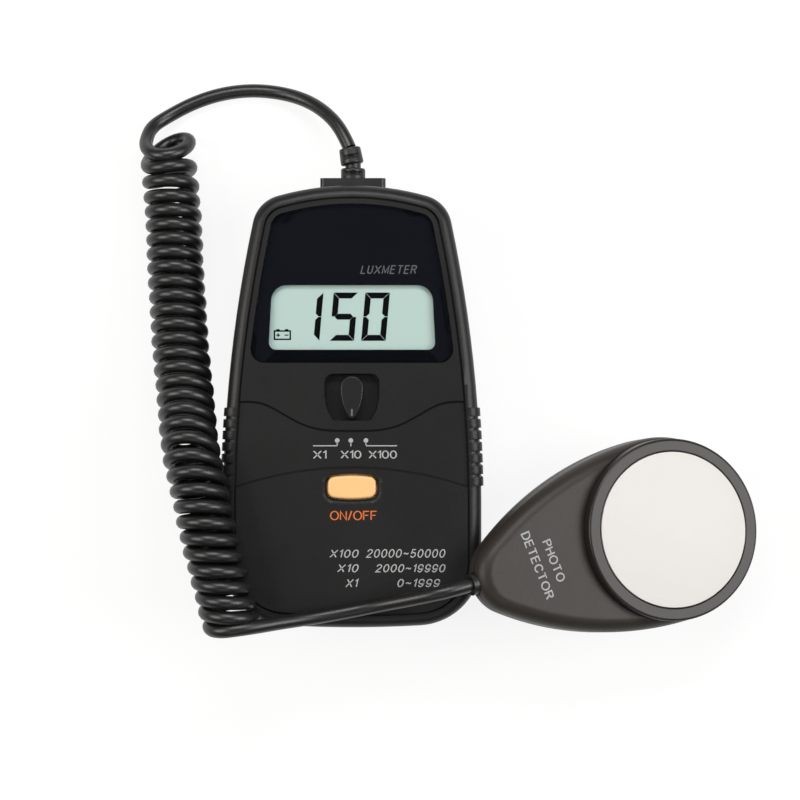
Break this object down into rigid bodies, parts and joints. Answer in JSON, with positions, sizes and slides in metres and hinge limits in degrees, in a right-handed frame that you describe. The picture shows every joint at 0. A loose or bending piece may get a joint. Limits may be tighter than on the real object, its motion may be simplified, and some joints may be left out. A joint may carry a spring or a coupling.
{
  "type": "handheld light meter",
  "caption": "Handheld digital light meter lying on its back, with a curly lead to a separate light detector that leans on its rim; range knob, power button, display and battery inside.",
  "frame": {"origin": "centre of the display unit's flat back", "axes": "X across the display unit, Y along it towards the lead's boot, +Z out of its face; the unit lies on its back on Z = 0"},
  "size_m": [0.1673, 0.1493, 0.0442],
  "materials": {
    "case_black": "satin, fine moulded texture",
    "cover_black": "satin",
    "foam": "soft matt foam",
    "screw_steel": "zinc plated",
    "window_clear": "polished",
    "mask_print": "printed",
    "lcd": "smooth",
    "frame_white": "satin",
    "contact_rubber": "matt",
    "board_green": "glossy",
    "chip_black": "matt",
    "resistor_tan": "glossy",
    "capacitor_tan": "glossy",
    "trimmer_blue": "glossy",
    "rotor_white": "matt",
    "knob_black": "satin",
    "copper": "satin",
    "button_orange": "satin",
    "switch_black": "matt",
    "dome_rubber": "matt",
    "battery_shell": "satin",
    "terminal_steel": "bright",
    "snap_black": "matt",
    "lead_red": "glossy",
    "lead_black": "glossy",
    "boot_rubber": "satin",
    "wire_white": "glossy",
    "cord_black": "glossy",
    "ring_black": "polished",
    "diffuser_white": "smooth, translucent",
    "diode_board": "glossy",
    "diode_metal": "satin",
    "filter_green": "polished"
  },
  "bodies": {
    "meter": {"front_case": "case_black", "rear_case": "case_black", "case_screws": "screw_steel", "window": "window_clear", "window_mask": "mask_print", "lcd_glass": "lcd", "lcd_frame": "frame_white", "contact_strips": "contact_rubber", "main_board": "board_green", "board_screws": "screw_steel", "converter_chip": "chip_black", "resistors": "resistor_tan", "capacitors": "capacitor_tan", "trimmer_body": "trimmer_blue", "power_switch": "switch_black", "return_dome": "dome_rubber", "detent_leaf": "copper", "battery_9v": "battery_shell", "battery_terminals": "terminal_steel", "battery_snap": "snap_black", "battery_lead_red": "lead_red", "battery_lead_black": "lead_black", "cable_boot": "boot_rubber", "signal_wires": "wire_white", "cord_arch": "cord_black", "cord_coil": "cord_black"},
    "range_knob": {"range_knob": "knob_black", "switch_rotor": "rotor_white", "wiper_contacts": "copper"},
    "power_button": {"power_button": "button_orange", "switch_plunger": "rotor_white"},
    "battery_cover": {"battery_cover": "cover_black", "cover_foam": "foam"},
    "trimmer_rotor": {"trimmer_rotor": "rotor_white"},
    "detector_head": {"head_rear": "case_black", "head_front": "case_black", "diffuser_ring": "ring_black", "diffuser": "diffuser_white", "photodiode_board": "diode_board", "photodiode": "diode_metal", "filter_holder": "switch_black", "correction_filter": "filter_green", "head_screws": "screw_steel", "head_boot": "boot_rubber", "head_wires": "wire_white", "cord_tail": "cord_black"}
  },
  "joints": [
    {"name": "range_turn", "type": "hinge", "parent": "meter", "child": "range_knob", "pos_m": [0, 0.005, 0.026], "axis": [0, 0, 1], "range_deg": [-15, 15]},
    {"name": "button_press", "type": "slide", "parent": "meter", "child": "power_button", "axis": [0, 0, -1], "range_m": [0, 0.0012], "stiffness_N_per_m": 800, "springref_m": -0.001, "deforming": ["return_dome"]},
    {"name": "cover_slide", "type": "slide", "parent": "meter", "child": "battery_cover", "axis": [0, -1, 0], "range_m": [0, 0.055]},
    {"name": "trimmer_turn", "type": "hinge", "parent": "meter", "child": "trimmer_rotor", "pos_m": [0.0175, -0.008, 0.0245], "axis": [0, 0, 1], "range_deg": [-135, 135]},
    {"name": "detector_pull", "type": "slide", "parent": "meter", "child": "detector_head", "axis": [0, -1, 0], "range_m": [0, 0.05], "stiffness_N_per_m": 8, "springref_m": -0.06}
  ]
}
